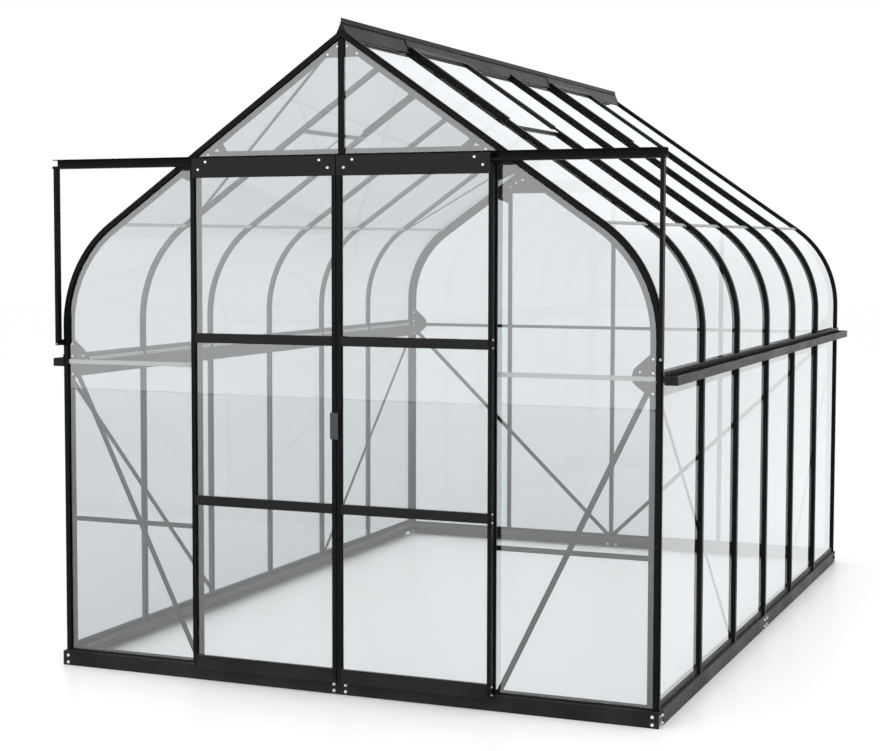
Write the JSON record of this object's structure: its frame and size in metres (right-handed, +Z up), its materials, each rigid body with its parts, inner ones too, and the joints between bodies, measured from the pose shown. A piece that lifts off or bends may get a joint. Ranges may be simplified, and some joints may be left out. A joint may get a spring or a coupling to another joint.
{
  "type": "glass greenhouse",
  "caption": "Walk-in glass greenhouse with curved eaves, black metal frame, roof vents and a pair of sliding doors on an overhead track.",
  "frame": {"origin": "on the ground, under the centre of the whole part, doors and handle included", "axes": "+Z up; the doors face -Y; +X to the right as seen from the front"},
  "size_m": [2.6726, 3.85, 2.6431],
  "materials": {
    "frame": "satin black powder coat",
    "glass": "clear, polished",
    "joint_strip": "translucent grey",
    "handle": "matt"
  },
  "bodies": {
    "frame": {"base_ends": "frame", "base_sides": "frame", "base_splices": "frame", "gable_sills": "frame", "side_sills": "frame", "end_arches": "frame", "side_bars": "frame", "eave_beams": "frame", "gutters": "frame", "ridge": "frame", "door_track": "frame", "track_supports": "frame", "headers": "frame", "front_posts": "frame", "rear_posts": "frame", "corner_gussets": "frame", "header_gussets": "frame", "apex_gussets": "frame", "front_rails": "frame", "rear_rails": "frame", "side_strips": "joint_strip", "front_strips": "joint_strip", "side_braces": "frame", "gable_braces": "frame", "roof_braces": "frame", "wall_glass": "glass", "curved_glass": "glass", "roof_glass": "glass", "front_glass": "glass", "rear_glass": "glass", "vent_sides": "frame", "vent_rails": "frame", "vent_glass": "glass", "vent_stays": "frame"},
    "left_door": {"left_stiles": "frame", "left_rails": "frame", "left_glass": "glass", "left_hanger": "frame", "left_handle": "handle"},
    "right_door": {"right_stiles": "frame", "right_rails": "frame", "right_glass": "glass", "right_hanger": "frame"}
  },
  "joints": [
    {"name": "left_door_slide", "type": "slide", "parent": "frame", "child": "left_door", "axis": [-1, 0, 0], "range_m": [0, 0.61]},
    {"name": "right_door_slide", "type": "slide", "parent": "frame", "child": "right_door", "axis": [1, 0, 0], "range_m": [0, 0.61]}
  ]
}
